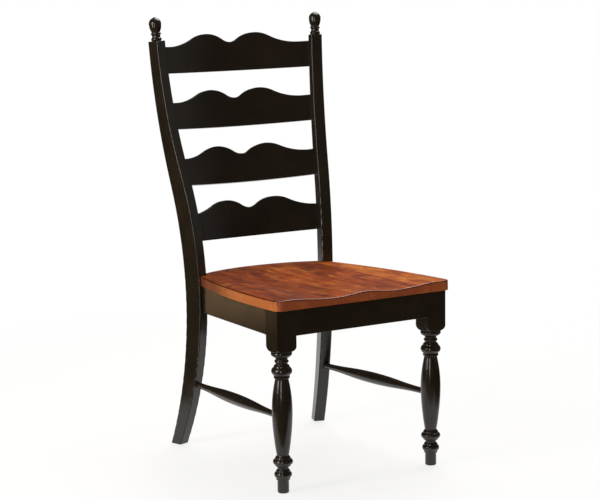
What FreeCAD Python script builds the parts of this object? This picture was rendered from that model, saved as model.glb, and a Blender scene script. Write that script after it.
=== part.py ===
import FreeCAD, Part
import Sketcher
import math
import os
import re

# Ladderback dining chair: sawn sabre posts with bent, scalloped slats between them, a scooped
# saddle seat, turned front legs and a frame of aprons held by dowels and corner braces.
# The frame's origin is on the floor under the middle of the chair, X is to the chair's left-right,
# Y runs from the front to the back, Z is up. Lengths "from the leg line" are Y distances behind
# the axes of the two front legs.

doc = FreeCAD.newDocument("LadderbackChair")

sizes = [
    # The two front legs: their stand and their square head
    ("leg_half_spacing", 208, "leg axis from the middle plane"),
    ("leg_square", 50.8, "side of the square head"),
    ("leg_head_mouth", 48, "diameter where the head's rounded shoulder starts"),
    ("leg_shoulder_rise", 13, "height of the head's rounded shoulder"),
    ("leg_foot_mouth", 24, "diameter of the leg's bottom face"),

    # The two rear posts, sawn from plank
    ("post_thickness", 28.5, "plank thickness"),
    ("post_toe_in", 17.65, "turn of the plank about the upright axis, degrees"),
    ("post_lean", 0.72, "outward lean, degrees"),
    ("post_foot_x", 215.7, "outer front arris at the floor, from the middle plane"),
    ("post_foot_y", 495.4, "outer front arris at the floor, from the leg line"),
    ("post_above_slats", 17.2, "post's front edge above the top slat's ends"),
    ("post_front_bow", 84.64, "how far the front edge bows ahead of its foot"),
    ("post_front_bow_height", 389.5, "height of that bow"),
    ("post_front_turn_height", 694, "where the front edge's curve reverses"),
    ("post_front_top", 34.1, "front edge's top behind its foot"),
    ("post_foot_depth", 32.9, "front to back at the foot"),
    ("post_rear_bow", 68.2, "how far the rear edge bows ahead of its foot"),
    ("post_rear_bow_height", 375, "height of that bow"),
    ("post_rear_turn_height", 663, "where the rear edge's curve reverses"),
    ("post_top_depth", 32.5, "front to back at the top"),
    ("post_top_rake", 5, "backward tilt of the sawn top, degrees"),
    ("post_arris", 2.5, "radius on the long arrises"),
    ("post_foot_chamfer", 2, "chamfer round the foot"),
    ("post_foot_extra", 12, "length sawn off level with the floor"),

    # The ladder's slats
    ("slat_count", 4, "number of slats"),
    ("slat_first_height", 555, "middle of the lowest slat's end"),
    ("slat_pitch", 137.6, "height from one slat to the next"),
    ("slat_thickness", 12, "plank thickness"),
    ("slat_setback", 8, "slat's middle behind the middle of the post's depth"),
    ("slat_end_height", 66, "height of the slat at its ends"),
    ("slat_crest_rise", 29.5, "crests above the ends"),
    ("slat_dip_depth", 22.2, "middle dip below the crests"),
    ("slat_crest_offset", 70, "crest from the middle"),
    ("slat_crest_radius", 82, "radius over a crest"),
    ("slat_tail_offset", 186.6, "where the upper edge runs out level"),
    ("slat_tenon", 15.5, "length of a slat's end inside the post"),

    # The seat
    ("seat_height", 456.8, "top of the rim at the front edge"),
    ("seat_slope", 1.72, "fall towards the rear, degrees"),
    ("seat_thickness", 24, "plank thickness"),
    ("seat_overhang", 13.1, "front edge ahead of the leg heads"),
    ("seat_half_width", 240, "half width at the front corners"),
    ("seat_corner_radius", 18.5, "radius of the front corners"),
    ("seat_side_bow", 13, "how far the side edge bows out"),
    ("seat_inset", 5, "side edge inside the post's outer arris"),
    ("seat_notch_depth", 16, "rear corner behind the post's front face"),
    ("seat_rear_bulge", 57, "middle of the rear edge behind its corners"),
    ("seat_arris", 3, "radius on the upper arris"),
    ("hollow_depth", 12.2, "depth of the scooped hollow"),
    ("hollow_half_width", 200, "half width of the hollow at the front edge"),
    ("hollow_length", 438, "length of the hollow from the front edge"),
    ("pommel_height", 11.5, "ridge in the middle of the front edge"),
    ("pommel_half_width", 60, "half width of the ridge at half its height"),
    ("pommel_length", 250, "length over which the ridge fades"),

    # The aprons
    ("apron_thickness", 20, "plank thickness"),
    ("apron_drop", 61.8, "front apron's lower edge below the seat"),
    ("side_apron_fall", 0.0463, "fall of the side apron's lower edge per length"),
    ("side_apron_inset", 8, "outer face inside the post's outer arris"),
    ("rear_apron_middle", 446, "middle of the rear apron, from the leg line"),
    ("rear_apron_drop", 66.2, "rear apron's lower edge below the seat"),

    # The side stretchers
    ("stretcher_front_height", 177.7, "axis at the front leg"),
    ("stretcher_rear_height", 163.2, "axis at the post's front face"),
    ("stretcher_end_diameter", 14.5, "diameter of the round ends"),
    ("stretcher_mid_diameter", 28.5, "diameter at the middle"),
    ("stretcher_tenon", 18, "length of a round end inside the leg or post"),
    ("stretcher_post_inset", 12.5, "axis from the post's outer face"),

    # The finials
    ("finial_mouth", 22, "diameter of the finial's bottom face"),
    ("finial_tenon_diameter", 12, "diameter of the finial's tenon"),
    ("finial_tenon", 13, "length of the finial's tenon"),

    # The corner braces
    ("brace_width", 22, "width of a brace"),
    ("brace_height", 35, "height of a brace"),
    ("brace_clearance", 4, "brace clear of the leg head and the post"),

    # The dowels and screws
    ("dowel_diameter", 8, "diameter of a dowel"),
    ("dowel_in_apron", 25, "length of a dowel inside an apron"),
    ("dowel_in_leg", 18, "length of a dowel inside a leg or post"),
    ("dowel_rise", 14, "lower dowel above the apron's lower edge"),
    ("dowel_spacing", 28, "height between the two dowels of a joint"),
    ("dowel_side_inset", 10, "side apron's front dowels from its outer face"),
    ("screw_diameter", 4, "shank of a screw"),
    ("screw_head", 8, "diameter of a countersunk head"),
    ("screw_head_height", 2.4, "height of a countersunk head"),
    ("screw_point", 5, "length of the point"),
    ("brace_screw_length", 30, "screw from a brace into an apron"),
    ("brace_screw_inset", 12, "brace screw from the end of the brace's long face"),
    ("brace_screw_drop", 10, "brace screw below the seat"),
    ("seat_screw_length", 48, "screw up through a brace into the seat"),

    # Clearances
    ("joint_clearance", 0.15, "each side of a tenon, dowel or screw"),
    ("shoulder_clearance", 0.25, "between a seat or apron and a post"),
    ("bottom_clearance", 1, "at the bottom of a hole or mortise"),
]

# Turned work from the floor up: name, rise, diameter at the top, swell (hollow if negative)
leg_turning = [
    ("foot_edge", 1.5, 27, 0),
    ("foot_peg", 27.5, 27.2, 0),
    ("foot_flare", 2.5, 32.8, 0),
    ("ankle_start", 4.5, 33.6, 0),
    ("ankle_bead", 14, 33.6, 3.9),
    ("ankle_fillet", 3, 32.4, 0),
    ("ankle_cove", 4, 26, 0),
    ("ankle_waist", 3, 26, 0),
    ("ring_cove", 4, 36.4, 0),
    ("ring_fillet", 2.5, 37, 0),
    ("ring_bead", 14, 37, 4.9),
    ("ring_top_fillet", 2.5, 36.4, 0),
    ("vase_cove", 5.5, 28.8, 0),
    ("vase_neck", 2.5, 28.8, 0),
    ("vase_rise", 36, 39.2, 0.4),
    ("vase_belly", 66, 47.9, 1),
    ("vase_shoulder", 45, 42, 0.8),
    ("vase_taper", 29, 31.6, 0.2),
    ("vase_collar", 3, 31.6, 0),
    ("bead_step", 0.8, 37.2, 0),
    ("bead_fillet", 7.2, 37.6, 0),
    ("great_bead", 18, 37.6, 5.4),
    ("bead_top_fillet", 3.5, 36.4, 0),
    ("neck_cove", 3.5, 28, 0),
    ("neck_fillet", 3, 28, 0),
    ("small_bead", 7, 28, 2.6),
    ("throat", 3.5, 28, 0),
    ("cup_rise", 5.8, 44, 0),
    ("cup_ring", 10.7, 44, 2.6),
]

finial_turning = [
    ("base_ring", 8.5, 21.4, 2.3),
    ("finial_neck", 6.5, 21.4, -0.5),
    ("collar", 6, 21.4, 1.9),
    ("throat_fillet", 1, 20.6, 0),
    ("acorn_cup", 16.5, 30, 1.1),
    ("acorn_nut", 18.5, 9, 4.2),
    ("acorn_tip", 1.6, 1.6, 0.3),
]

# Values that follow from the sizes. Post edges are in the post's own plane: s runs to the rear
# from the front edge's foot, z up the post.
layout = [
    ("toe_sin", "sin(post_toe_in)"),
    ("toe_cos", "cos(post_toe_in)"),
    ("lean_sin", "sin(post_lean)"),
    ("lean_cos", "cos(post_lean)"),
    ("post_height", "slat_first_height + (slat_count - 1) * slat_pitch + slat_end_height / 2"
                    " + post_above_slats"),

    # The front edge: an arc round (front_one_s, bow height), then one round the other way
    ("front_one_radius", "(post_front_bow^2 + post_front_bow_height^2) / (2 * post_front_bow)"),
    ("front_one_s", "front_one_radius - post_front_bow"),
    ("front_turn_rise", "post_front_turn_height - post_front_bow_height"),
    ("front_turn_s", "front_one_s - sqrt(front_one_radius^2 - front_turn_rise^2)"),
    ("front_toe_s", "front_one_s - sqrt(front_one_radius^2"
                    " - (post_front_bow_height + post_foot_extra)^2)"),
    ("front_run_s", "post_front_top - front_turn_s"),
    ("front_run_z", "post_height - post_front_turn_height"),
    ("front_two_radius", "(front_run_s^2 + front_run_z^2) * front_one_radius / 2"
                         " / (front_run_s * (front_turn_s - front_one_s)"
                         " + front_run_z * front_turn_rise)"),
    ("front_two_s", "front_turn_s"
                    " + front_two_radius * (front_turn_s - front_one_s) / front_one_radius"),
    ("front_two_z", "post_front_turn_height"
                    " + front_two_radius * front_turn_rise / front_one_radius"),

    # The rear edge in the same way
    ("rear_top_s", "post_front_top + post_top_depth"),
    ("rear_top_z", "post_height - post_top_depth * tan(post_top_rake)"),
    ("rear_one_radius", "(post_rear_bow^2 + post_rear_bow_height^2) / (2 * post_rear_bow)"),
    ("rear_one_s", "post_foot_depth + rear_one_radius - post_rear_bow"),
    ("rear_turn_rise", "post_rear_turn_height - post_rear_bow_height"),
    ("rear_turn_s", "rear_one_s - sqrt(rear_one_radius^2 - rear_turn_rise^2)"),
    ("rear_toe_s", "rear_one_s - sqrt(rear_one_radius^2"
                   " - (post_rear_bow_height + post_foot_extra)^2)"),
    ("rear_run_s", "rear_top_s - rear_turn_s"),
    ("rear_run_z", "rear_top_z - post_rear_turn_height"),
    ("rear_two_radius", "(rear_run_s^2 + rear_run_z^2) * rear_one_radius / 2"
                        " / (rear_run_s * (rear_turn_s - rear_one_s)"
                        " + rear_run_z * rear_turn_rise)"),
    ("rear_two_s", "rear_turn_s + rear_two_radius * (rear_turn_s - rear_one_s) / rear_one_radius"),
    ("rear_two_z", "post_rear_turn_height + rear_two_radius * rear_turn_rise / rear_one_radius"),

    # The slats' upper edge: crest and dip arcs, crest and tail arcs, each pair tangent
    ("wave_dip_span", "(slat_crest_offset^2 + slat_dip_depth^2) / (2 * slat_dip_depth)"),
    ("wave_dip_radius", "wave_dip_span - slat_crest_radius"),
    ("wave_tail_run", "slat_tail_offset - slat_crest_offset"),
    ("wave_tail_span", "(wave_tail_run^2 + slat_crest_rise^2) / (2 * slat_crest_rise)"),
    ("wave_tail_radius", "wave_tail_span - slat_crest_radius"),
    ("slat_crest_height", "slat_end_height + slat_crest_rise"),
    ("wave_dip_x", "slat_crest_offset * wave_dip_radius / wave_dip_span"),
    ("wave_dip_z", "slat_crest_height - slat_dip_depth + wave_dip_radius"
                   " - wave_dip_radius * (wave_dip_span - slat_dip_depth) / wave_dip_span"),
    ("wave_tail_x", "slat_crest_offset + wave_tail_run * slat_crest_radius / wave_tail_span"),
    ("wave_tail_z", "slat_crest_height - slat_crest_radius"
                    " + slat_crest_radius * (wave_tail_span - slat_crest_rise) / wave_tail_span"),

    # The seat's front edge and underside, from the leg line; the underside falls to the rear
    ("seat_front", "-leg_square / 2 - seat_overhang"),
    ("seat_fall", "tan(seat_slope)"),
    ("under_front", "seat_height - seat_thickness / cos(seat_slope) + seat_fall * seat_front"),
    ("apron_bottom", "under_front - apron_drop"),
    ("rear_bottom", "under_front - seat_fall * rear_apron_middle - rear_apron_drop"),
]

owner = {}


# Aliases in a formula are given the name of the sheet that holds them
def formula(text, home=""):
    def with_owner(word):
        sheet = owner.get(word.group(), home)
        return word.group() if sheet == home else sheet + "." + word.group()
    return re.sub(r"[a-z][a-z_0-9]*", with_owner, str(text))


def value(text):
    return float(size_sheet.evalExpression(formula(text)))


def add_sheet(name):
    return doc.addObject("Spreadsheet::Sheet", name)


def add_row(sheet, row, alias, content, note=""):
    text = str(content)
    if not isinstance(content, (int, float)):
        text = "=" + formula(text, sheet.Name)
    sheet.set("A" + str(row), alias)
    sheet.set("B" + str(row), text)
    sheet.set("C" + str(row), note)
    sheet.setAlias("B" + str(row), alias)
    owner[alias] = sheet.Name


size_sheet = add_sheet("Sizes")
for row, (alias, number, note) in enumerate(sizes, 1):
    add_row(size_sheet, row, alias, number, note)


# A turned profile as a sheet: each element's rise, diameter and swell, and the height of its top
def turning_sheet(name, prefix, elements):
    sheet = add_sheet(name)
    row = 0
    below = "0"
    for element, rise, diameter, swell in elements:
        for part, number in (("rise", rise), ("diameter", diameter), ("swell", swell)):
            row += 1
            add_row(sheet, row, prefix + element + "_" + part, number)
        row += 1
        top = prefix + element + "_top"
        add_row(sheet, row, top, below + " + " + prefix + element + "_rise")
        below = top
    return below


leg_top = turning_sheet("LegTurning", "leg_", leg_turning)
finial_top = turning_sheet("FinialTurning", "fin_", finial_turning)
doc.recompute()


def post_x(across, depth, up):
    return (f"(-post_foot_x + ({across}) * lean_cos * toe_cos - ({depth}) * toe_sin"
            f" - ({up}) * lean_sin * toe_cos)")


def post_y(across, depth, up):
    return (f"(post_foot_y + ({across}) * lean_cos * toe_sin + ({depth}) * toe_cos"
            f" - ({up}) * lean_sin * toe_sin)")


# One edge of the post at a height up the plank: how far behind the foot, and its slope there
def edge_depth(edge, up):
    return (f"({up} < post_{edge}_turn_height"
            f" ? {edge}_one_s - sqrt({edge}_one_radius^2 - ({up} - post_{edge}_bow_height)^2)"
            f" : {edge}_two_s + sqrt({edge}_two_radius^2 - ({up} - {edge}_two_z)^2))")


def edge_slope(edge, up):
    return (f"({up} < post_{edge}_turn_height"
            f" ? ({up} - post_{edge}_bow_height) / ({edge}_one_s - {edge_depth(edge, up)})"
            f" : ({edge}_two_z - {up}) / ({edge_depth(edge, up)} - {edge}_two_s))")


# Each slat's ends lie in the inner faces of the posts, square to them, and its rake is the post's
def slat_rows(number):
    slat = f"slat{number}_"
    up = slat + "up"
    depth = slat + "depth"
    return [
        (slat + "height", f"slat_first_height + {number - 1} * slat_pitch"),
        (up, f"({slat}height - post_thickness * lean_sin) / lean_cos"),
        (depth, f"({edge_depth('front', up)} + {edge_depth('rear', up)}) / 2 + slat_setback"),
        (slat + "slope", f"({edge_slope('front', up)} + {edge_slope('rear', up)}) / 2"),
        (slat + "half", "-" + post_x("post_thickness", depth, up)),
        (slat + "end", post_y("post_thickness", depth, up)),
        (slat + "rake", f"atan({slat}slope * toe_cos) / (1 deg)"),
        (slat + "radius", f"{slat}half / toe_sin"),
        (slat + "bow", f"{slat}radius * (1 - toe_cos)"),
        (slat + "y", f"{slat}end + {slat}bow * cos({slat}rake)"),
        (slat + "z", f"{slat}height - {slat}bow * sin({slat}rake)"),
    ]


slat_numbers = range(1, int(value("slat_count")) + 1)
for number in slat_numbers:
    layout += slat_rows(number)
top_slat = f"slat{slat_numbers[-1]}_"
bow_point = ("-post_front_bow", "post_front_bow_height")
notch_point = ("seat_notch_depth - post_front_bow", "post_front_bow_height")
layout += [
    # The chair's rear is the back of the top slat; the leg line is placed to centre the whole
    ("rear_reach", f"{top_slat}y + slat_thickness / 2 * cos({top_slat}rake)"
                   f" + (slat_crest_height - slat_dip_depth - slat_end_height / 2)"
                   f" * sin({top_slat}rake)"),
    ("leg_line", "-(seat_front - seat_thickness * sin(seat_slope) + rear_reach) / 2"),

    # Where the frame meets the posts, taken at the height of the front edge's bow
    ("arris_x", post_x("0", *bow_point)),
    ("arris_y", post_y("0", *bow_point)),
    ("inner_arris_x", post_x("post_thickness", *bow_point)),
    ("inner_arris_y", post_y("post_thickness", *bow_point)),
    ("seat_side_x", post_x("seat_inset", *bow_point)),
    ("seat_side_y", post_y("seat_inset", *bow_point)),
    ("seat_end_x", post_x("post_thickness / 2", *notch_point)),
    ("seat_end_y", post_y("post_thickness / 2", *notch_point)),
    ("seat_rear_radius", "(seat_end_x^2 + seat_rear_bulge^2) / (2 * seat_rear_bulge)"),
    ("seat_side_run_x", "seat_half_width + seat_side_x"),
    ("seat_side_run_y", "seat_side_y - seat_front - seat_corner_radius"),
    ("seat_side_radius", "(seat_side_run_x^2 + seat_side_run_y^2) / (8 * seat_side_bow)"
                         " + seat_side_bow / 2"),
    ("seat_post_up", "seat_height - seat_thickness / 2 - seat_fall * (arris_y - seat_front)"),
    ("seat_post_depth", edge_depth("front", "seat_post_up")),
    ("seat_post_slope", f"atan({edge_slope('front', 'seat_post_up')}) / (1 deg)"),
    ("rail_end_x", post_x("side_apron_inset", *bow_point)),
    ("rail_end_y", post_y("side_apron_inset", *bow_point)),
    ("rail_joint_x", post_x("post_thickness / 2", *bow_point)),
    ("rail_joint_y", post_y("post_thickness / 2", *bow_point)),
    ("rear_joint_depth", "(rear_apron_middle - post_foot_y - post_thickness * toe_sin) / toe_cos"),
    ("rear_joint_x", post_x("post_thickness", "rear_joint_depth", "post_front_bow_height")),

    # The side apron's plan: its outer face runs from the leg head to the post
    ("rail_start_x", "-leg_half_spacing - leg_square / 2"),
    ("rail_start_y", "leg_square / 2"),
    ("rail_skew", "(rail_end_x - rail_start_x) / (rail_end_y - rail_start_y)"),
    ("rail_width", "apron_thickness * sqrt(1 + rail_skew^2)"),
    ("rail_inner_x", "rail_start_x + rail_width"),
    ("rail_fall_angle", "atan(side_apron_fall) / (1 deg)"),
    ("side_bottom", "apron_bottom - side_apron_fall * (rail_end_y - rail_start_y)"),

    # The stretcher's line from the leg's axis to the post's front face
    ("stretcher_depth", edge_depth("front", "stretcher_rear_height")),
    ("stretcher_run_x", post_x("stretcher_post_inset", "stretcher_depth", "stretcher_rear_height")
     + " + leg_half_spacing"),
    ("stretcher_run_y", post_y("stretcher_post_inset", "stretcher_depth",
                               "stretcher_rear_height")),
    ("stretcher_run_z", "stretcher_rear_height - stretcher_front_height"),
    ("stretcher_length", "sqrt(stretcher_run_x^2 + stretcher_run_y^2 + stretcher_run_z^2)"),
    ("stretcher_yaw", "atan2(-stretcher_run_x; stretcher_run_y) / (1 deg)"),
    ("stretcher_roll", "asin(stretcher_run_z / stretcher_length) / (1 deg)"),
    ("stretcher_start", "leg_vase_belly_diameter / 2"),
    ("stretcher_quarter", "(stretcher_length - stretcher_start) / 4"),
    ("stretcher_swell", "(stretcher_mid_diameter - stretcher_end_diameter) / 4"),
    ("stretcher_radius", "(stretcher_quarter^2 + stretcher_swell^2) / (2 * stretcher_swell)"),

    # The braces' long and short faces as lines at 45 degrees: x + y in front, y - x behind
    ("front_brace_line", "leg_square - leg_half_spacing + brace_clearance * sqrt(2)"),
    ("front_brace_face", "front_brace_line + brace_width * sqrt(2)"),
    ("rear_brace_line", "inner_arris_y - inner_arris_x - brace_clearance * sqrt(2)"),
    ("rear_brace_face", "rear_brace_line - brace_width * sqrt(2)"),
]

layout_sheet = add_sheet("Layout")
for row, (alias, text) in enumerate(layout, 1):
    add_row(layout_sheet, row, alias, text)
doc.recompute()


# A closed sketch outline. A corner is (x, y), or (x, y, radius, side) where an arc runs from it
# to the next corner and bows to that side of the way travelled.
def draw(body, name, plane, corners):
    sketch = body.newObject("Sketcher::SketchObject", name)
    planes = {feature.Role: feature for feature in body.Origin.OriginFeatures}
    sketch.AttachmentSupport = [(planes[plane], "")]
    sketch.MapMode = "FlatFace"
    points = [FreeCAD.Vector(value(corner[0]), value(corner[1]), 0) for corner in corners]
    starts = []
    ends = []
    for index, corner in enumerate(corners):
        start = points[index]
        end = points[(index + 1) % len(points)]
        if len(corner) == 2:
            sketch.addGeometry(Part.LineSegment(start, end))
        else:
            chord = end - start
            radius = value(corner[2])
            height = radius - math.sqrt(radius ** 2 - chord.Length ** 2 / 4)
            to_right = FreeCAD.Vector(chord.y, -chord.x, 0).normalize()
            bow = to_right * (height if corner[3] == "right" else -height)
            sketch.addGeometry(Part.Arc(start, (start + end) / 2 + bow, end))
        forward = sketch.getPoint(index, 1).distanceToPoint(start) < 1e-6
        starts.append(1 if forward else 2)
        ends.append(2 if forward else 1)
    for index, corner in enumerate(corners):
        following = (index + 1) % len(corners)
        sketch.addConstraint(Sketcher.Constraint(
            "Coincident", index, ends[index], following, starts[following]))
        dimensions = [("DistanceX", corner[0], points[index].x),
                      ("DistanceY", corner[1], points[index].y)]
        for kind, text, length in dimensions:
            number = sketch.addConstraint(Sketcher.Constraint(
                kind, -1, 1, index, starts[index], length))
            sketch.setExpression(f"Constraints[{number}]", formula(text))
        if len(corner) == 4:
            number = sketch.addConstraint(Sketcher.Constraint("Radius", index, value(corner[2])))
            sketch.setExpression(f"Constraints[{number}]", formula(corner[2]))
    return sketch


def body_named(name):
    return doc.addObject("PartDesign::Body", name)


def pad(body, sketch, length, name="Pad"):
    feature = body.newObject("PartDesign::Pad", name)
    feature.Profile = sketch
    feature.setExpression("Length", formula(length))
    return feature


def turn(body, sketch, name="Turning", kind="Revolution"):
    feature = body.newObject("PartDesign::" + kind, name)
    feature.Profile = sketch
    feature.ReferenceAxis = (sketch, ["V_Axis"])
    feature.Angle = 360
    return feature


# A placement as text: the point, then the turns about Z, Y and X in degrees
def place(x, y, z, yaw="0", pitch="0", roll="0"):
    return f"placement(vector({x}; {y}; {z}); rotation({yaw}; {pitch}; {roll}))"


def put(item, *places):
    item.setExpression("Placement", formula(" * ".join(places)))
    return item


def block(name, length, width, height, *places):
    item = doc.addObject("Part::Box", name)
    item.setExpression("Length", formula(length))
    item.setExpression("Width", formula(width))
    item.setExpression("Height", formula(height))
    return put(item, *places)


def rod(name, diameter, length, *places):
    item = doc.addObject("Part::Cylinder", name)
    item.setExpression("Radius", formula(f"({diameter}) / 2"))
    item.setExpression("Height", formula(length))
    return put(item, *places)


def group(name, items):
    item = doc.addObject("Part::Compound", name)
    item.Links = items
    return item


def mirrored(name, source):
    item = doc.addObject("Part::Mirroring", name)
    item.Source = source
    item.Normal = (1, 0, 0)
    return item


def cut(name, base, tools):
    item = doc.addObject("Part::Cut", name)
    item.Base = base
    item.Tool = tools[0] if len(tools) == 1 else group(name + "_tools", tools)
    return item


def linked(name, source, *places):
    item = doc.addObject("App::Link", name)
    item.LinkedObject = source
    return put(item, *places)


def edge_numbers(shape, wanted):
    return [number for number, edge in enumerate(shape.Edges, 1) if wanted(edge)]


def round_edges(name, base, kind, size, wanted):
    doc.recompute()
    item = doc.addObject("Part::" + kind, name)
    item.Base = base
    item.Edges = [(number, value(size), value(size)) for number in edge_numbers(base.Shape, wanted)]
    return item


nodes = []


def node(item, label):
    item.Label = label
    nodes.append(item)
    return item


# How far the cutting blocks reach past what they cut
spare = 60

post_place = place("-post_foot_x", "leg_line + post_foot_y", "0", "post_toe_in", "-post_lean")
seat_place = place("0", "leg_line + seat_front", "seat_height", "0", "0", "-seat_slope")
stretcher_place = place("-leg_half_spacing", "leg_line", "stretcher_front_height",
                        "stretcher_yaw", "0", "stretcher_roll")
finial_place = [post_place, place("post_thickness / 2", "(post_front_top + rear_top_s) / 2",
                                  "(post_height + rear_top_z) / 2", "0", "0", "-post_top_rake")]


def slat_place(number):
    slat = f"slat{number}_"
    return [place("0", f"leg_line + {slat}y", slat + "z", "0", "0", f"-{slat}rake"),
            place("0", "0", "-slat_end_height / 2")]


# Cutting blocks shared by the pieces that are fitted to the seat, the floor and the posts
floor_block = block("FloorBlock", 10 * spare, 10 * spare, 2 * spare,
                    place(-5 * spare, f"leg_line + post_foot_y - {5 * spare}", -2 * spare))
seat_block = block("SeatBlock", 10 * spare, 10 * spare, 2 * spare,
                   seat_place, place(-5 * spare, -spare, "-seat_thickness"))
post_front_block = block("PostFrontBlock", f"post_thickness + {2 * spare}", 3 * spare, 6 * spare,
                         post_place, place(-spare, "-post_front_bow - shoulder_clearance",
                                           f"post_front_bow_height - {3 * spare}"))
post_inner_block = block("PostInnerBlock", f"post_thickness + shoulder_clearance + {spare}",
                         3 * spare, 6 * spare,
                         post_place, place(-spare, "-post_front_bow - shoulder_clearance",
                                           f"post_front_bow_height - {3 * spare}"))
seat_notch_block = block("SeatNotchBlock", f"post_thickness + shoulder_clearance + {spare}",
                         3 * spare, 2 * spare,
                         post_place, place(-spare, "seat_post_depth", "seat_post_up",
                                           "0", "0", "-seat_post_slope"),
                         place(0, "-shoulder_clearance", -spare))
rail_bottom_block = block("RailBottomBlock", 10 * spare, 10 * spare, spare,
                          place(-5 * spare, "leg_line + rail_start_y", "apron_bottom",
                                "0", "0", "-rail_fall_angle"),
                          place(0, -spare, -spare))

# Dowels: left-hand joints as (name, point on the joint's plane, direction from leg into apron)
head_inner = "-leg_half_spacing + leg_square / 2"
front_dowel_y = "leg_line - leg_square / 2 + apron_thickness / 2"
into_right = ("90", "0")
into_rear = ("0", "-90")
into_front = ("0", "90")
dowel_joints = [
    ("front_apron_dowels", head_inner, front_dowel_y, "apron_bottom", into_right),
    ("side_apron_front_dowels", "rail_start_x + dowel_side_inset", "leg_line + rail_start_y",
     "apron_bottom", into_rear),
    ("side_apron_rear_dowels", "rail_joint_x", "leg_line + rail_joint_y", "side_bottom",
     into_front),
    ("rear_apron_dowels", "rear_joint_x", "leg_line + rear_apron_middle", "rear_bottom",
     into_right),
]
dowel_holes = {}
for label, x, y, bottom, (pitch, roll) in dowel_joints:
    pins = []
    holes = []
    for pin in range(2):
        start = place(x, y, f"{bottom} + dowel_rise + {pin} * dowel_spacing", "0", pitch, roll)
        pins.append(rod(f"{label}_pin{pin}", "dowel_diameter", "dowel_in_leg + dowel_in_apron",
                        start, place(0, 0, "-dowel_in_leg")))
        holes.append(rod(f"{label}_hole{pin}", "dowel_diameter + 2 * joint_clearance",
                         "dowel_in_leg + dowel_in_apron + 2 * bottom_clearance",
                         start, place(0, 0, "-dowel_in_leg - bottom_clearance")))
    left_pins = group(label + "_left", pins)
    dowel_holes[label] = group(label + "_holes", holes)
    node(group(label, [left_pins, mirrored(label + "_right", left_pins)]), label)

# Screws, drawn head up along Z; their holes are the same outline with clearance
def screw(name, length, clearance):
    body = body_named(name)
    shank = f"screw_diameter / 2 + {clearance}"
    sketch = draw(body, "Outline", "XZ_Plane", [
        ("0", "0"),
        ("0", f"-{length} - {clearance}"),
        (shank, f"-{length} - {clearance} + screw_point"),
        (shank, "-screw_head_height"),
        (f"screw_head / 2 + {clearance}", "0"),
    ])
    turn(body, sketch)
    return body


brace_screw = screw("BraceScrew", "brace_screw_length", "0")
brace_screw_hole = screw("BraceScrewHole", "brace_screw_length", "joint_clearance")
seat_screw = screw("SeatScrew", "seat_screw_length", "0")
seat_screw_hole = screw("SeatScrewHole", "seat_screw_length", "joint_clearance")

# Each brace: its plan corners, and where its screws enter the long face and which way they go
def line_on_rail(total, way):
    y = f"(({total} {'-' if way > 0 else '+'} rail_inner_x {'+' if way > 0 else '-'} rail_skew"
    y += f" * rail_start_y) / (1 {'+' if way > 0 else '-'} rail_skew))"
    x = f"({total} - {y})" if way > 0 else f"({y} - {total})"
    return x, y


front_face_y = "(-leg_square / 2 + apron_thickness)"
rear_face_y = "(rear_apron_middle - apron_thickness / 2)"
brace_plans = {
    "front": [(f"front_brace_line - {front_face_y}", front_face_y),
              (f"front_brace_face - {front_face_y}", front_face_y),
              line_on_rail("front_brace_face", 1),
              line_on_rail("front_brace_line", 1)],
    "rear": [(f"{rear_face_y} - rear_brace_line", rear_face_y),
             (f"{rear_face_y} - rear_brace_face", rear_face_y),
             line_on_rail("rear_brace_face", -1),
             line_on_rail("rear_brace_line", -1)],
}
screw_yaw = {"front": "-45", "rear": "-135"}


def underside(y):
    return f"(under_front - seat_fall * ({y}))"


def brace_screw_places(end):
    away = 1 if end == "front" else -1
    (x1, y1), (x2, y2) = brace_plans[end][1:3]
    inset = "brace_screw_inset / sqrt(2)"
    height = f"{underside(y2)} - brace_screw_drop"
    first = place(f"{x1} - {inset}", f"leg_line + {y1} + {away} * {inset}", height,
                  screw_yaw[end], "0", "-90")
    second = place(f"{x2} + {inset}", f"leg_line + {y2} - {away} * {inset}", height,
                   screw_yaw[end], "0", "-90")
    return [first, second]


def seat_screw_place(end):
    corners = brace_plans[end]
    x = "(" + " + ".join(corner[0] for corner in corners) + ") / 4"
    y = "(" + " + ".join(corner[1] for corner in corners) + ") / 4"
    return place(x, f"leg_line + {y}", f"{underside(y)} - brace_height", "0", "0", "180")


brace_screws = []
brace_holes = {}
seat_screws = []
seat_holes = {}
for end in ("front", "rear"):
    holes = []
    for number, where in enumerate(brace_screw_places(end)):
        brace_screws.append(linked(f"{end}_brace_screw{number}", brace_screw, where))
        holes.append(linked(f"{end}_brace_screw_hole{number}", brace_screw_hole, where))
    brace_holes[end] = holes
    seat_screws.append(linked(f"{end}_seat_screw", seat_screw, seat_screw_place(end)))
    seat_holes[end] = linked(f"{end}_seat_screw_hole", seat_screw_hole, seat_screw_place(end))
for label, screws in (("corner_brace_screws", brace_screws), ("seat_screws", seat_screws)):
    left_screws = group(label + "_left", screws)
    node(group(label, [left_screws, mirrored(label + "_right", left_screws)]), label)


# Slats: a bent band with straight ends, its upper edge sawn to the wave
def wave():
    crest = "slat_crest_height"
    dip = ("wave_dip_x", "wave_dip_z")
    tail = ("wave_tail_x", "wave_tail_z")
    reach = f"(slat_tail_offset + {spare})"
    top = f"{crest} + {spare}"
    return [
        (f"-{reach}", "slat_end_height"),
        ("-slat_tail_offset", "slat_end_height", "wave_tail_radius", "right"),
        (f"-{tail[0]}", tail[1], "slat_crest_radius", "left"),
        (f"-{dip[0]}", dip[1], "wave_dip_radius", "right"),
        (dip[0], dip[1], "slat_crest_radius", "left"),
        (tail[0], tail[1], "wave_tail_radius", "right"),
        ("slat_tail_offset", "slat_end_height"),
        (reach, "slat_end_height"),
        (reach, top),
        (f"-{reach}", top),
    ]


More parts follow.
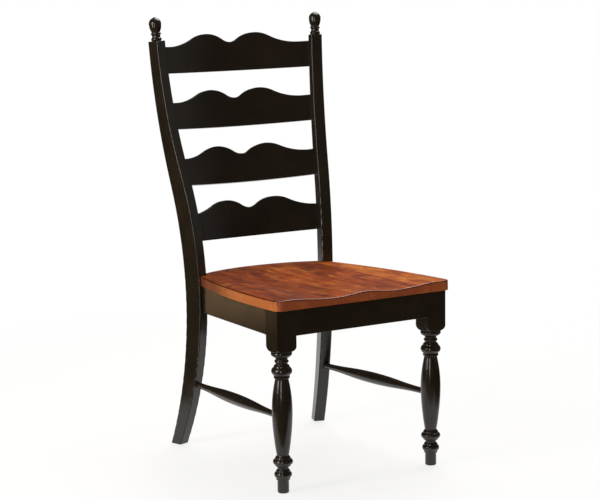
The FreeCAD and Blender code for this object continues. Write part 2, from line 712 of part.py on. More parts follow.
def slat(number):
    body = body_named(f"Slat{number}")
    radius = f"slat{number}_radius"
    corners = []
    for side, skin, bow in ((1, "+", "left"), (-1, "-", "right")):
        face = f"({radius} {skin} slat_thickness / 2)"
        x = f"({face} * toe_sin)"
        y = f"({face} * toe_cos - {radius})"
        out_x = f"({x} + slat_tenon * toe_cos)"
        out_y = f"({y} - slat_tenon * toe_sin)"
        run = [(f"-{out_x}", out_y), (f"-{x}", y, face, bow), (x, y), (out_x, out_y)]
        if side < 0:
            run = [(out_x, out_y), (x, y, face, bow), (f"-{x}", y), (f"-{out_x}", out_y)]
        corners += run
    pad(body, draw(body, "Band", "XY_Plane", corners), "slat_crest_height")
    scallop = body.newObject("PartDesign::Pocket", "Scallop")
    scallop.Profile = draw(body, "Wave", "XZ_Plane", wave())
    scallop.Type = "ThroughAll"
    scallop.SideType = "Symmetric"
    return put(body, *slat_place(number))


# The mortise for a slat's left end, in the left post
def mortise(number):
    slat_name = f"slat{number}_"
    return block(f"Mortise{number}", f"slat_tenon + bottom_clearance + {spare / 10}",
                 "slat_thickness + 2 * joint_clearance", "slat_end_height + 2 * joint_clearance",
                 *slat_place(number),
                 place(f"-{slat_name}half", f"-{slat_name}bow", "0", "post_toe_in"),
                 place("-slat_tenon - bottom_clearance",
                       "-slat_thickness / 2 - joint_clearance", "-joint_clearance"))


for number in slat_numbers:
    node(slat(number), f"ladder_slat_{number}")


# Stretchers: the side of the spindle is two equal tangent arcs from each end to the middle
def stretcher():
    body = body_named("Stretcher")
    end = "stretcher_end_diameter / 2"
    middle = "stretcher_mid_diameter / 2"
    shift = "(stretcher_end_diameter + stretcher_mid_diameter) / 4"
    first = "stretcher_start"
    last = "stretcher_length"
    low = "stretcher_start - stretcher_tenon"
    high = "stretcher_length + stretcher_tenon"
    turn(body, draw(body, "Outline", "XY_Plane", [
        ("0", low),
        (end, low),
        (end, first, "stretcher_radius", "left"),
        (shift, "stretcher_start + stretcher_quarter", "stretcher_radius", "right"),
        (middle, "stretcher_start + 2 * stretcher_quarter", "stretcher_radius", "right"),
        (shift, "stretcher_start + 3 * stretcher_quarter", "stretcher_radius", "left"),
        (end, last),
        (end, high),
        ("0", high),
    ]))
    return put(body, stretcher_place)


def stretcher_hole(name, start, length):
    return rod(name, "stretcher_end_diameter + 2 * joint_clearance", length,
               stretcher_place, place("0", start, "0", "0", "0", "-90"))


leg_stretcher_hole = stretcher_hole(
    "LegStretcherHole", "stretcher_start - stretcher_tenon - bottom_clearance",
    f"stretcher_tenon + bottom_clearance + {spare / 2}")
post_stretcher_hole = stretcher_hole(
    "PostStretcherHole", f"stretcher_length - {spare / 2}",
    f"stretcher_tenon + bottom_clearance + {spare / 2}")
left_stretcher = node(stretcher(), "side_stretcher_left")
node(mirrored("StretcherRight", left_stretcher), "side_stretcher_right")


# The outer side of turned work, as draw's corners: each element runs to its own top
def turned_side(prefix, elements, mouth):
    corners = [(f"{mouth} / 2", "0")]
    for element, rise, diameter, swell in elements:
        name = prefix + element
        x, y = corners[-1][:2]
        across = f"{name}_diameter / 2"
        if swell:
            chord = f"(({across} - {x})^2 + {name}_rise^2)"
            radius = f"({chord} / (8 * abs({name}_swell)) + abs({name}_swell) / 2)"
            corners[-1] = (x, y, radius, "right" if swell > 0 else "left")
        corners.append((across, f"{name}_top"))
    return corners


# Finials: one turned profile from the tenon to the tip
def finial():
    body = body_named("Finial")
    tenon = "finial_tenon_diameter / 2"
    side = turned_side("fin_", finial_turning, "finial_mouth")
    turn(body, draw(body, "Outline", "XZ_Plane",
                    [("0", "-finial_tenon"), (tenon, "-finial_tenon"), (tenon, "0")]
                    + side + [("0", finial_top)]))
    return put(body, *finial_place)


finial_hole = rod("FinialHole", "finial_tenon_diameter + 2 * joint_clearance",
                  f"finial_tenon + bottom_clearance + {spare / 10}",
                  *finial_place, place(0, 0, "-finial_tenon - bottom_clearance"))
left_finial = node(finial(), "finial_left")
node(mirrored("FinialRight", left_finial), "finial_right")


# Posts: sawn to two reversing curves, arrises rounded, foot sawn level with the floor
def post():
    body = body_named("Post")
    toe = "-post_foot_extra"
    sketch = draw(body, "SabreOutline", "YZ_Plane", [
        ("front_toe_s", toe, "front_one_radius", "left"),
        ("front_turn_s", "post_front_turn_height", "front_two_radius", "right"),
        ("post_front_top", "post_height"),
        ("rear_top_s", "rear_top_z", "rear_two_radius", "left"),
        ("rear_turn_s", "post_rear_turn_height", "rear_one_radius", "right"),
        ("rear_toe_s", toe),
    ])
    plank = pad(body, sketch, "post_thickness", "Plank")
    doc.recompute()
    arrises = edge_numbers(plank.Shape, lambda edge: edge.Curve.TypeId == "Part::GeomCircle")
    rounding = body.newObject("PartDesign::Fillet", "Arrises")
    rounding.Base = (plank, [f"Edge{number}" for number in arrises])
    rounding.setExpression("Radius", formula("post_arris"))
    return put(body, post_place)


sawn_post = cut("SawnPost", post(), [floor_block])
chamfered_post = round_edges("ChamferedPost", sawn_post, "Chamfer", "post_foot_chamfer",
                             lambda edge: edge.BoundBox.ZMax < 0.01)
left_post = node(cut("PostLeft", chamfered_post,
                     [mortise(number) for number in slat_numbers]
                     + [dowel_holes["side_apron_rear_dowels"], dowel_holes["rear_apron_dowels"],
                        post_stretcher_hole, finial_hole]), "rear_post_left")
node(mirrored("PostRight", left_post), "rear_post_right")


# Front legs: a square head with shoulders turned on it, and the turned leg under it
def front_leg():
    body = body_named("FrontLeg")
    half = "leg_square / 2"
    square = draw(body, "HeadSquare", "XY_Plane", [
        ("-" + half, "-" + half), (half, "-" + half), (half, half), ("-" + half, half)])
    square.setExpression("AttachmentOffset.Base.z", formula(leg_top))
    pad(body, square, f"seat_height - {leg_top}", "Head")
    mouth = "leg_head_mouth / 2"
    corner = "(leg_square / sqrt(2))"
    rise = "leg_shoulder_rise"
    width = f"({corner} - {mouth})"
    shoulder = draw(body, "Shoulder", "XZ_Plane", [
        (mouth, leg_top, f"(({width}^2 + {rise}^2) / (2 * {width}))", "right"),
        (corner, f"{leg_top} + {rise}"),
        (f"{corner} + {spare}", f"{leg_top} + {rise}"),
        (f"{corner} + {spare}", leg_top),
    ])
    turn(body, shoulder, "Shoulders", "Groove")
    side = turned_side("leg_", leg_turning, "leg_foot_mouth")
    turn(body, draw(body, "TurnedOutline", "XZ_Plane", [("0", "0")] + side + [("0", leg_top)]),
         "TurnedLeg")
    return put(body, place("-leg_half_spacing", "leg_line", "0"))


left_leg = node(cut("LegLeft", front_leg(),
                    [seat_block, dowel_holes["front_apron_dowels"],
                     dowel_holes["side_apron_front_dowels"], leg_stretcher_hole]),
                "front_leg_left")
node(mirrored("LegRight", left_leg), "front_leg_right")


# Boards standing on edge under the seat: a plan padded up past the seat's underside, then planed
def board(name, plan, bottom):
    body = body_named(name)
    sketch = draw(body, "Plan", "XY_Plane", plan)
    sketch.setExpression("AttachmentOffset.Base.z", formula(bottom))
    pad(body, sketch, f"seat_height - ({bottom})")
    return put(body, place("0", "leg_line", "0"))


def both_sides(name, items):
    left = group(name, items)
    return [left, mirrored(name + "_right", left)]


def level_plan(half, near, far):
    return [(f"-({half})", near), (half, near), (half, far), (f"-({half})", far)]


node(cut("ApronFront",
         board("ApronFrontBoard",
               level_plan("leg_half_spacing - leg_square / 2", "-leg_square / 2", front_face_y),
               "apron_bottom"),
         [seat_block] + both_sides("ApronFrontHoles", [dowel_holes["front_apron_dowels"],
                                                       brace_holes["front"][0]])),
     "apron_front")
node(cut("ApronRear",
         board("ApronRearBoard",
               level_plan("post_foot_x", rear_face_y,
                          "rear_apron_middle + apron_thickness / 2"),
               "rear_bottom"),
         [seat_block] + both_sides("ApronRearHoles", [post_inner_block,
                                                      dowel_holes["rear_apron_dowels"],
                                                      brace_holes["rear"][0]])),
     "apron_rear")

rail_far = f"(rail_end_y + {spare})"
rail_far_x = f"(rail_end_x + rail_skew * {spare})"
side_plan = [
    ("rail_start_x", "rail_start_y"),
    ("rail_inner_x", "rail_start_y"),
    (f"{rail_far_x} + rail_width", rail_far),
    (rail_far_x, rail_far),
]
left_apron = node(cut("ApronLeft", board("ApronLeftBoard", side_plan, "side_bottom"),
                      [seat_block, rail_bottom_block, post_front_block,
                       dowel_holes["side_apron_front_dowels"],
                       dowel_holes["side_apron_rear_dowels"],
                       brace_holes["front"][1], brace_holes["rear"][1]]),
                  "apron_left")
node(mirrored("ApronRight", left_apron), "apron_right")

for end in ("front", "rear"):
    bottom = f"{underside(brace_plans[end][2][1])} - brace_height"
    brace = node(cut(f"Brace_{end}", board(f"Brace_{end}_board", brace_plans[end], bottom),
                     [seat_block, seat_holes[end]] + brace_holes[end]),
                 f"corner_brace_{end}_left")
    node(mirrored(f"Brace_{end}_right", brace), f"corner_brace_{end}_right")


# Seat: a thick plank sawn to the outline, then its whole top carved to one smooth surface that
# lies level on the rim, dips in the hollow and rises in the pommel at the middle of the front
def hollow(x, y, reach):
    across = min(abs(x) / reach, 1)
    along = min(max(y, 0) / value("hollow_length"), 1)
    fade = max(1 - max(y, 0) / value("pommel_length"), 0) ** 2
    basin = value("hollow_depth") * (1 - along ** 4) ** 2
    pommel = value("pommel_height") * fade / (1 + (x / value("pommel_half_width")) ** 2)
    return (1 - across ** 3) ** 2 * (basin - pommel)


def hollow_tool():
    columns = 21
    rows = 19
    margin = spare / 5
    half = value("seat_half_width + seat_side_bow") + margin
    length = value("seat_end_y + seat_rear_bulge - seat_front") + 2 * margin
    front_reach = value("hollow_half_width")
    narrowing = value("(seat_half_width + seat_side_x) / (seat_side_y - seat_front)")
    grid = []
    for column in range(columns):
        x = half * (2 * column / (columns - 1) - 1)
        line = []
        for row in range(rows):
            y = length * row / (rows - 1) - margin
            reach = front_reach - narrowing * max(y, 0)
            line.append(FreeCAD.Vector(x, y, -hollow(x, y, reach)))
        grid.append(line)
    surface = Part.BSplineSurface()
    surface.interpolate(grid)
    item = doc.addObject("Part::Feature", "HollowTool")
    item.Shape = surface.toShape().extrude(FreeCAD.Vector(0, 0, spare))
    return item


def seat_blank():
    body = body_named("SeatBlank")
    corner = "seat_corner_radius"
    half = "seat_half_width"
    side_y = "seat_side_y - seat_front"
    end_y = "seat_end_y - seat_front"
    outline = draw(body, "SeatOutline", "XY_Plane", [
        (f"{corner} - {half}", "0"),
        (f"{half} - {corner}", "0", corner, "right"),
        (half, corner, "seat_side_radius", "right"),
        ("-seat_side_x", side_y),
        ("-seat_end_x", end_y, "seat_rear_radius", "right"),
        ("seat_end_x", end_y),
        ("seat_side_x", side_y, "seat_side_radius", "right"),
        (f"-{half}", corner, corner, "right"),
    ])
    outline.setExpression("AttachmentOffset.Base.z", formula("-seat_thickness"))
    pad(body, outline, f"seat_thickness + {spare / 2}", "Plank")
    return body


carved = cut("CarvedSeat", seat_blank(), [hollow_tool()])


def upper_arris(edge):
    middle = edge.valueAt((edge.FirstParameter + edge.LastParameter) / 2)
    upright = edge.BoundBox.ZLength > value("seat_thickness") / 2
    return (not upright and middle.z > -value("seat_thickness") / 2
            and middle.y < value("seat_side_y - seat_front"))


rounded_seat = put(round_edges("RoundedSeat", carved, "Fillet", "seat_arris", upper_arris),
                   seat_place)
node(cut("Seat", rounded_seat, both_sides("SeatCuts", [seat_notch_block, seat_holes["front"],
                                                       seat_holes["rear"]])), "seat")

doc.recompute()
for item in doc.Objects:
    if {"Invalid", "Error"} & set(item.State):
        raise RuntimeError(f"{item.Name} failed: {item.State}")
os.makedirs("parts", exist_ok=True)
for item in nodes:
    shape = item.Shape
    if shape.isNull() or not shape.isValid():
        raise RuntimeError(f"{item.Label} has no valid shape")
    shape.exportStep(f"parts/{item.Label}.step")
    print(item.Label, "solids", len(shape.Solids), "volume", round(shape.Volume))
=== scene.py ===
import bpy
import math
from mathutils import Matrix, Vector

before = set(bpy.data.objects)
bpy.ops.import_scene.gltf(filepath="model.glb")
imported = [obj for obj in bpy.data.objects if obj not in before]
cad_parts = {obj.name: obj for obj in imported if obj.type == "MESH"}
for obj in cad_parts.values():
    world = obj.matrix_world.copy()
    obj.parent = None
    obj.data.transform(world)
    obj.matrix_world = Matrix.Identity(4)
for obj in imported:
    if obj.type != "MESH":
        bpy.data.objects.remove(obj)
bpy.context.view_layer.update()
print("frame loaded:", len(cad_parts), "nodes")

scene = bpy.context.scene
scene.view_settings.view_transform = "Standard"


# sRGB hex to the linear values that the shaders take
def linear(hexColour):
    channels = [int(hexColour[i:i + 2], 16) / 255 for i in (1, 3, 5)]
    return tuple(c / 12.92 if c <= 0.04045 else ((c + 0.055) / 1.055) ** 2.4 for c in channels) + (1,)


# One node with its settings and links. An input is a socket of another node or a plain value.
def addNode(tree, kind, inputs=None, **settings):
    node = tree.nodes.new(kind)
    for name, value in settings.items():
        setattr(node, name, value)
    for name, value in (inputs or {}).items():
        if isinstance(value, bpy.types.NodeSocket):
            tree.links.new(value, node.inputs[name])
        else:
            node.inputs[name].default_value = value
    return node


def newMaterial(name):
    material = bpy.data.materials.new(name)
    material.use_nodes = True
    material.node_tree.nodes.clear()
    return material, material.node_tree


def endMaterial(tree, shader):
    addNode(tree, "ShaderNodeOutputMaterial", {"Surface": shader})


def ramp(tree, factor, stops):
    node = addNode(tree, "ShaderNodeValToRGB", {"Fac": factor})
    elements = node.color_ramp.elements
    while len(elements) < len(stops):
        elements.new(0.5)
    for element, (position, hexColour) in zip(elements, stops):
        element.position = position
        element.color = linear(hexColour)
    return node.outputs["Color"]


# Millimetres in the part's own frame, stretched by a factor for each axis
def millimetres(tree, stretch=(1, 1, 1)):
    place = addNode(tree, "ShaderNodeTexCoord").outputs["Object"]
    scale = [1000 * s for s in stretch]
    return addNode(tree, "ShaderNodeVectorMath", {0: place, 1: scale}, operation="MULTIPLY").outputs[0]


def noise(tree, where, size, detail=2, roughness=0.5, distortion=0.0):
    return addNode(tree, "ShaderNodeTexNoise", {
        "Vector": where, "Scale": 1 / size, "Detail": detail,
        "Roughness": roughness, "Distortion": distortion}).outputs["Fac"]


def mathNode(tree, operation, first, second=0.0, third=0.0):
    return addNode(tree, "ShaderNodeMath", {0: first, 1: second, 2: third},
                   operation=operation).outputs[0]


# 0 at one value and 1 at the other, with a soft start and end
def fade(tree, value, start, end):
    return addNode(tree, "ShaderNodeMapRange", {
        "Value": value, "From Min": start, "From Max": end},
        interpolation_type="SMOOTHSTEP").outputs[0]


def blend(tree, factor, first, second, kind="MIX"):
    node = tree.nodes.new("ShaderNodeMix")
    node.data_type = "RGBA"
    node.blend_type = kind
    sockets = [node.inputs[0], node.inputs[6], node.inputs[7]]
    for socket, value in zip(sockets, (factor, first, second)):
        if isinstance(value, bpy.types.NodeSocket):
            tree.links.new(value, socket)
        else:
            socket.default_value = value
    return node.outputs[2]


def splitAxes(tree, vector):
    return addNode(tree, "ShaderNodeSeparateXYZ", {0: vector}).outputs


# Black lacquer: sprayed over stained hardwood and rubbed to a semi-gloss. The eye sees a warm
# brown-black that mirrors the room softly, the faint pull of the grain under it and a bright
# line where a lamp catches an eased arris. Lengths are in millimetres, depths and the radius
# of the arris in metres.
lacquer = {
    "colour": "#1a150e",
    "worn": "#221a10",
    "wornRange": (0.3, 0.75),
    "cloudSize": 70,
    "roughness": 0.2,
    "roughnessSpread": 0.04,
    "roughnessRange": (0.3, 0.7),
    "grainWidth": 3,
    "grainLength": 90,
    "grainDepth": 0.000008,
    "waveSize": 45,
    "waveDepth": 0.00006,
    "arrisRadius": 0.0018,
    "ior": 1.5,
}


def blackLacquer(name, grainAxis):
    material, tree = newMaterial(name)
    stretch = [1, 1, 1]
    stretch[grainAxis] = lacquer["grainWidth"] / lacquer["grainLength"]
    grain = noise(tree, millimetres(tree, stretch), lacquer["grainWidth"], 3)
    cloud = noise(tree, millimetres(tree), lacquer["cloudSize"], 3)
    tint = ramp(tree, cloud, list(zip(lacquer["wornRange"], (lacquer["colour"], lacquer["worn"]))))
    low, high = lacquer["roughnessRange"]
    gloss = addNode(tree, "ShaderNodeMapRange", {
        "Value": cloud, "From Min": low, "From Max": high,
        "To Min": lacquer["roughness"] - lacquer["roughnessSpread"],
        "To Max": lacquer["roughness"] + lacquer["roughnessSpread"]})
    wave = noise(tree, millimetres(tree), lacquer["waveSize"], 1)
    swell = addNode(tree, "ShaderNodeBump", {
        "Height": wave, "Strength": 1.0, "Distance": lacquer["waveDepth"]})
    bump = addNode(tree, "ShaderNodeBump", {
        "Height": grain, "Strength": 1.0, "Distance": lacquer["grainDepth"],
        "Normal": swell.outputs[0]})
    eased = addNode(tree, "ShaderNodeBevel", {
        "Radius": lacquer["arrisRadius"], "Normal": bump.outputs[0]}, samples=6)
    shader = addNode(tree, "ShaderNodeBsdfPrincipled", {
        "Base Color": tint, "Roughness": gloss.outputs[0], "IOR": lacquer["ior"],
        "Normal": eased.outputs[0]})
    endMaterial(tree, shader.outputs[0])
    return material


# Stained maple: boards glued side by side with the grain running to the rear, scooped, wiped
# with a cherry-brown stain and lacquered. The eye sees boards of slightly different orange and
# brown, blotched and streaked along the grain, darker where the end grain drinks the stain,
# with a dark line and a fine glint on the rounded arris. Lengths are in millimetres, the
# depth of the fibres in metres. A stretch below 1 draws a pattern out along the grain.
maple = {
    "boardWidth": 84,
    "boardStart": 17,
    "boardWander": 5,
    "wanderSize": 160,
    "wanderStretch": 0.2,
    "boardShift": (900, 2600, 500),
    "jointWidth": 0.8,
    "blotch": {"size": 24, "stretch": 0.32, "detail": 4, "roughness": 0.6, "distortion": 0.35},
    "streak": {"size": 7, "stretch": 0.06, "detail": 3, "roughness": 0.6, "distortion": 0.4},
    "fibre": {"size": 1.4, "stretch": 0.025, "detail": 3, "roughness": 0.6, "distortion": 0},
    "figure": {"size": 52, "stretch": 0.7, "detail": 2, "roughness": 0.5, "distortion": 1.2},
    "shares": {"blotch": 0.95, "streak": 0.42, "fibre": 0.24, "board": 0.26},
    "levelShift": -0.45,
    "tones": [(0.24, "#6c2a0b"), (0.42, "#954015"), (0.56, "#b2561c"), (0.76, "#d58030")],
    "gleam": "#e8913c",
    "gleamRange": (0.56, 0.8),
    "gleamShare": 0.45,
    "endGrain": "#7a3918",
    "endRange": (0.45, 0.8),
    "endShare": 0.8,
    "sideNear": "#a8602a",
    "sideFar": "#4f220a",
    "sideChange": (-130, 60),
    "sideRange": (0.75, 0.95),
    "sideShare": 0.75,
    "arrisDark": "#3a1405",
    "arrisDarkStart": (0.05, 0.3),
    "arrisDarkEnd": (0.86, 0.95),
    "arrisDarkShare": 0.85,
    "jointShade": 0.25,
    "roughness": 0.3,
    "arrisRoughness": 0.14,
    "fibreDepth": 0.00004,
    "ior": 1.5,
}


def stainedMaple():
    material, tree = newMaterial("stainedMaple")
    place = millimetres(tree)
    axes = splitAxes(tree, place)

    # Which board a point is in, and how far it is from the nearest glue line
    sway = maple["wanderStretch"]
    wander = noise(tree, millimetres(tree, (sway, 1, sway)), maple["wanderSize"], 1)
    across = mathNode(tree, "MULTIPLY_ADD", wander, maple["boardWander"], axes["X"])
    count = mathNode(tree, "MULTIPLY_ADD", across, 1 / maple["boardWidth"],
                     maple["boardStart"] / maple["boardWidth"])
    board = mathNode(tree, "FLOOR", count)
    inBoard = mathNode(tree, "FRACT", count)
    toJoint = mathNode(tree, "MINIMUM", inBoard, mathNode(tree, "SUBTRACT", 1.0, inBoard))
    joint = fade(tree, toJoint, 0, maple["jointWidth"] / maple["boardWidth"])
    tone = addNode(tree, "ShaderNodeTexWhiteNoise", {"W": board}, noise_dimensions="1D").outputs

    # Each board's figure is cut from a different place
    shift = addNode(tree, "ShaderNodeVectorMath", {
        0: tone["Color"], 1: maple["boardShift"]}, operation="MULTIPLY").outputs[0]

    moved = addNode(tree, "ShaderNodeVectorMath", {0: place, 1: shift}).outputs[0]

    def boardNoise(pattern):
        drawn = addNode(tree, "ShaderNodeVectorMath", {0: moved, 1: (1, pattern["stretch"], 1)},
                        operation="MULTIPLY").outputs[0]
        return noise(tree, drawn, pattern["size"], pattern["detail"],
                     pattern["roughness"], pattern["distortion"])

    parts = {part: boardNoise(maple[part]) for part in ("blotch", "streak", "fibre", "figure")}
    parts["board"] = tone["Value"]
    level = maple["levelShift"]
    for part, share in maple["shares"].items():
        level = mathNode(tree, "MULTIPLY_ADD", parts[part], share, level)
    colour = ramp(tree, level, maple["tones"])
    gleam = fade(tree, parts["figure"], *maple["gleamRange"])
    gleam = mathNode(tree, "MULTIPLY", gleam, maple["gleamShare"])
    colour = blend(tree, gleam, colour, linear(maple["gleam"]))

    # The end grain, the side edges, the rounded arris and the glue lines
    facing = splitAxes(tree, addNode(tree, "ShaderNodeTexCoord").outputs["Normal"])
    endOn = fade(tree, mathNode(tree, "ABSOLUTE", facing["Y"]), *maple["endRange"])
    endOn = mathNode(tree, "MULTIPLY", endOn, maple["endShare"])
    colour = blend(tree, endOn, colour, linear(maple["endGrain"]))
    # The side edges run from a lighter orange at the front to a dark brown towards the rear
    sideOn = fade(tree, mathNode(tree, "ABSOLUTE", facing["X"]), *maple["sideRange"])
    sideOn = mathNode(tree, "MULTIPLY", sideOn, maple["sideShare"])
    backward = fade(tree, axes["Y"], *maple["sideChange"])
    sideTone = blend(tree, backward, linear(maple["sideNear"]), linear(maple["sideFar"]))
    colour = blend(tree, sideOn, colour, sideTone)
    # The rounded arris is painted dark brown, picked out by how far its surface tilts from flat
    flat = fade(tree, facing["Z"], *maple["arrisDarkEnd"])
    rounded = mathNode(tree, "MULTIPLY", fade(tree, facing["Z"], *maple["arrisDarkStart"]),
                       mathNode(tree, "SUBTRACT", 1.0, flat))
    arrisDarkened = mathNode(tree, "MULTIPLY", rounded, maple["arrisDarkShare"])
    colour = blend(tree, arrisDarkened, colour, linear(maple["arrisDark"]))
    glued = mathNode(tree, "MULTIPLY_ADD", joint, maple["jointShade"], 1 - maple["jointShade"])
    colour = blend(tree, 1.0, colour, glued, "MULTIPLY")

    rubbed = addNode(tree, "ShaderNodeMapRange", {
        "Value": rounded, "To Min": maple["roughness"], "To Max": maple["arrisRoughness"]})
    bump = addNode(tree, "ShaderNodeBump", {
        "Height": parts["fibre"], "Strength": 1.0, "Distance": maple["fibreDepth"]})
    shader = addNode(tree, "ShaderNodeBsdfPrincipled", {
        "Base Color": colour, "Roughness": rubbed.outputs[0], "IOR": maple["ior"],
        "Normal": bump.outputs[0]})
    endMaterial(tree, shader.outputs[0])
    return material


# Raw wood: planed or turned and left bare under the chair. The eye sees a pale dry wood with
# fine darker fibres. Sizes are in millimetres, the depth of the fibres in metres.
rawWood = {
    "planed": ("#c9a271", "#b58b5a"),
    "turned": ("#d8b889", "#c7a270"),
    "fibreWidth": 1.5,
    "fibreStretch": 0.03,
    "fibreRange": (0.35, 0.65),
    "fibreDepth": 0.0003,
    "fibreStrength": 0.15,
    "roughness": 0.6,
    "ior": 1.5,
}


def plainWood(name, colours):
    material, tree = newMaterial(name)
    light, dark = colours
    stretch = (rawWood["fibreStretch"], 1, 1)
    fibre = noise(tree, millimetres(tree, stretch), rawWood["fibreWidth"], 4, 0.6)
    colour = ramp(tree, fibre, list(zip(rawWood["fibreRange"], (dark, light))))
    bump = addNode(tree, "ShaderNodeBump", {
        "Height": fibre, "Strength": rawWood["fibreStrength"], "Distance": rawWood["fibreDepth"]})
    shader = addNode(tree, "ShaderNodeBsdfPrincipled", {
        "Base Color": colour, "Roughness": rawWood["roughness"], "IOR": rawWood["ior"],
        "Normal": bump.outputs[0]})
    endMaterial(tree, shader.outputs[0])
    return material


# Zinc-plated steel: rolled and plated. The eye sees a pale grey metal, a little uneven.
zinc = {
    "tones": [(0.3, "#a8a69c"), (0.7, "#c9c7bd")],
    "cloudSize": 3,
    "roughness": 0.35,
}


def zincSteel():
    material, tree = newMaterial("zincSteel")
    cloud = noise(tree, millimetres(tree), zinc["cloudSize"], 3)
    shader = addNode(tree, "ShaderNodeBsdfPrincipled", {
        "Base Color": ramp(tree, cloud, zinc["tones"]), "Metallic": 1.0,
        "Roughness": zinc["roughness"]})
    endMaterial(tree, shader.outputs[0])
    return material


lacquerAlongX = blackLacquer("blackLacquerAlongX", 0)
lacquerAlongY = blackLacquer("blackLacquerAlongY", 1)
lacquerUpright = blackLacquer("blackLacquerUpright", 2)
seatMaple = stainedMaple()
braceMaple = plainWood("planedMaple", rawWood["planed"])
dowelBirch = plainWood("turnedBirch", rawWood["turned"])
screwZinc = zincSteel()
finishes = {
    "seat": seatMaple, "ladder_slat": lacquerAlongX, "apron_front": lacquerAlongX,
    "apron_rear": lacquerAlongX, "apron_left": lacquerAlongY, "apron_right": lacquerAlongY,
    "side_stretcher": lacquerAlongY, "rear_post": lacquerUpright, "front_leg": lacquerUpright,
    "finial": lacquerUpright, "corner_brace_front": braceMaple, "corner_brace_rear": braceMaple,
    "corner_brace_screws": screwZinc, "seat_screws": screwZinc, "dowels": dowelBirch,
}


# The longest name in the table that the node's name starts with
def finishOf(nodeName):
    if nodeName.endswith("dowels"):
        return finishes["dowels"]
    matches = [key for key in finishes if nodeName.startswith(key)]
    return finishes[max(matches, key=len)]


for nodeName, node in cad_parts.items():
    for slot in node.material_slots:
        slot.material = finishOf(nodeName)
print("materials set")


# The camera stands where the photograph was taken from
camera = {
    "place": (-2.30006, -3.80769, 1.24138),
    "yaw": 0.5461,
    "pitch": 0.1632,
    "roll": -0.0128,
    "focalPixels": 1841.53,
    "framePixels": 600,
    "sensorWidth": 36,
}


# The floor and the world are white to the camera. Polished surfaces mirror the white floor
# that the photograph shows, a painted pool of warm light glowing on the floor behind on the
# left, a pale wall on each side and a dim room beyond. Places and reaches are in metres.
studio = {
    "floorSize": 120,
    "shadowShare": 0.2,
    "shadowReach": (0.7, 2.2),
    "paper": "#f2efea",
    # A painted pool of warm light that glows on the floor and shows only in mirror rays
    "lightPoolCentre": (-1.15, 2.35, 0),
    "lightPoolReach": (0.62, 0.97),
    "lightPoolColour": "#e6bd90",
    "lightPoolLevel": 0.85,
    "pictureStart": 3.9,
    "pictureSpread": 0.163,
    "ambient": 0.42,
    "room": 0.035,
    "wallSide": (0.917, -0.4, 0),
    "leftWall": 0.4,
    "rightWall": 0.18,
    "wallRange": (0.88, 0.98),
}


def buildFloor():
    bpy.ops.mesh.primitive_plane_add(size=studio["floorSize"])
    floor = bpy.context.object
    floor.name = "studioFloor"
    material, tree = newMaterial("paleFloor")
    rays = addNode(tree, "ShaderNodeLightPath").outputs
    place = addNode(tree, "ShaderNodeTexCoord").outputs["Object"]
    white = addNode(tree, "ShaderNodeEmission", {"Color": (1, 1, 1, 1), "Strength": 1.0})
    paper = addNode(tree, "ShaderNodeBsdfDiffuse", {"Color": linear(studio["paper"])})

    # The chair's shadow shows close to the chair and fades into plain white
    away = addNode(tree, "ShaderNodeVectorMath", {0: place}, operation="LENGTH").outputs["Value"]
    near = mathNode(tree, "SUBTRACT", 1.0, fade(tree, away, *studio["shadowReach"]))
    share = mathNode(tree, "MULTIPLY", near, studio["shadowShare"])
    seen = addNode(tree, "ShaderNodeMixShader", {
        "Fac": share, 1: white.outputs[0], 2: paper.outputs[0]})

    # The floor that the photograph shows is white in mirror rays too
    turned = addNode(tree, "ShaderNodeMapping", {
        "Vector": place, "Location": (camera["place"][0], camera["place"][1], 0),
        "Rotation": (0, 0, -camera["yaw"])}, vector_type="TEXTURE").outputs[0]
    spot = splitAxes(tree, turned)
    spread = mathNode(tree, "ABSOLUTE", mathNode(tree, "DIVIDE", spot["X"], spot["Y"]))
    inWidth = mathNode(tree, "LESS_THAN", spread, studio["pictureSpread"])
    inDepth = mathNode(tree, "GREATER_THAN", spot["Y"], studio["pictureStart"])
    inPicture = mathNode(tree, "MULTIPLY", inWidth, inDepth)

    # Outside it, a painted pool of warm light glowing on the floor behind on the left, then the dim
    # room
    fromLightPool = addNode(tree, "ShaderNodeVectorMath", {
        0: place, 1: studio["lightPoolCentre"]}, operation="DISTANCE").outputs["Value"]
    low, high = studio["lightPoolReach"]
    glow = addNode(tree, "ShaderNodeMapRange", {
        "Value": fromLightPool, "From Min": low, "From Max": high,
        "To Min": studio["lightPoolLevel"], "To Max": studio["room"]}, interpolation_type="SMOOTHSTEP")
    pool = addNode(tree, "ShaderNodeEmission", {
        "Color": linear(studio["lightPoolColour"]), "Strength": glow.outputs[0]})
    mirrored = addNode(tree, "ShaderNodeMixShader", {
        "Fac": inPicture, 1: pool.outputs[0], 2: seen.outputs[0]})

    lit = addNode(tree, "ShaderNodeMixShader", {
        "Fac": rays["Is Glossy Ray"], 1: paper.outputs[0], 2: mirrored.outputs[0]})
    direct = mathNode(tree, "MAXIMUM", rays["Is Camera Ray"], rays["Is Transmission Ray"])
    both = addNode(tree, "ShaderNodeMixShader", {
        "Fac": direct, 1: lit.outputs[0], 2: seen.outputs[0]})
    endMaterial(tree, both.outputs[0])
    floor.data.materials.append(material)


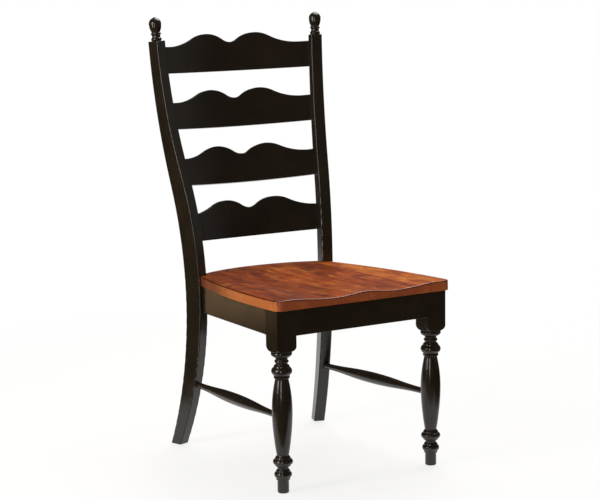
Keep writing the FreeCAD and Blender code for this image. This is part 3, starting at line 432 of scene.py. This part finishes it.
def buildWorld():
    world = bpy.data.worlds.new("studioWorld")
    scene.world = world
    world.use_nodes = True
    tree = world.node_tree
    tree.nodes.clear()
    rays = addNode(tree, "ShaderNodeLightPath").outputs
    direction = addNode(tree, "ShaderNodeTexCoord").outputs["Generated"]
    sideways = addNode(tree, "ShaderNodeVectorMath", {
        0: direction, 1: studio["wallSide"]}, operation="DOT_PRODUCT").outputs["Value"]
    start, end = studio["wallRange"]
    right = fade(tree, sideways, start, end)
    left = fade(tree, sideways, -start, -end)
    mirrored = mathNode(tree, "MULTIPLY_ADD", right, studio["rightWall"], studio["room"])
    mirrored = mathNode(tree, "MULTIPLY_ADD", left, studio["leftWall"], mirrored)
    level = addNode(tree, "ShaderNodeMix", {
        0: rays["Is Glossy Ray"], 2: studio["ambient"], 3: mirrored}).outputs[0]
    room = addNode(tree, "ShaderNodeBackground", {"Color": (1, 1, 1, 1), "Strength": level})
    white = addNode(tree, "ShaderNodeBackground", {"Color": (1, 1, 1, 1), "Strength": 1.0})
    direct = mathNode(tree, "MAXIMUM", rays["Is Camera Ray"], rays["Is Transmission Ray"])
    both = addNode(tree, "ShaderNodeMixShader", {
        "Fac": direct, 1: room.outputs[0], 2: white.outputs[0]})
    addNode(tree, "ShaderNodeOutputWorld", {"Surface": both.outputs[0]})


# Where each softbox stands and what it faces in metres, its power in watts
softboxes = {
    "leftBox": {
        "place": (-2.9, -0.3, 1.5), "target": (0, 0, 0.7), "size": (0.8, 2.2),
        "power": 58, "colour": (1, 0.97, 0.92)},
    "nearStrip": {
        "place": (-2.85, -3.1, 1.2), "target": (0, -0.1, 0.6), "size": (0.2, 2.2),
        "power": 30, "colour": (1, 0.98, 0.95)},
    "topBox": {
        "place": (1.1, 0.8, 3.0), "target": (0, 0, 0.5), "size": (2.0, 2.0),
        "power": 72, "colour": (1, 1, 1)},
}


def buildSoftbox(name, box):
    light = bpy.data.lights.new(name, "AREA")
    light.shape = "RECTANGLE"
    light.size, light.size_y = box["size"]
    light.energy = box["power"]
    light.color = box["colour"]
    lamp = bpy.data.objects.new(name, light)
    scene.collection.objects.link(lamp)
    lamp.location = box["place"]
    aim = Vector(box["target"]) - Vector(box["place"])
    lamp.rotation_euler = aim.to_track_quat("-Z", "Y").to_euler()
    lamp.visible_camera = False


buildFloor()
buildWorld()
for name, box in softboxes.items():
    buildSoftbox(name, box)
print("studio built")


def buildCamera():
    data = bpy.data.cameras.new("photoCamera")
    view = bpy.data.objects.new("photoCamera", data)
    scene.collection.objects.link(view)
    data.sensor_width = camera["sensorWidth"]
    data.lens = camera["focalPixels"] / camera["framePixels"] * data.sensor_width
    turn = Matrix.Rotation(-camera["yaw"], 4, "Z")
    tilt = Matrix.Rotation(math.pi / 2 - camera["pitch"], 4, "X")
    roll = Matrix.Rotation(camera["roll"], 4, "Z")
    view.matrix_world = Matrix.Translation(camera["place"]) @ turn @ tilt @ roll
    scene.camera = view


buildCamera()
print("camera set")
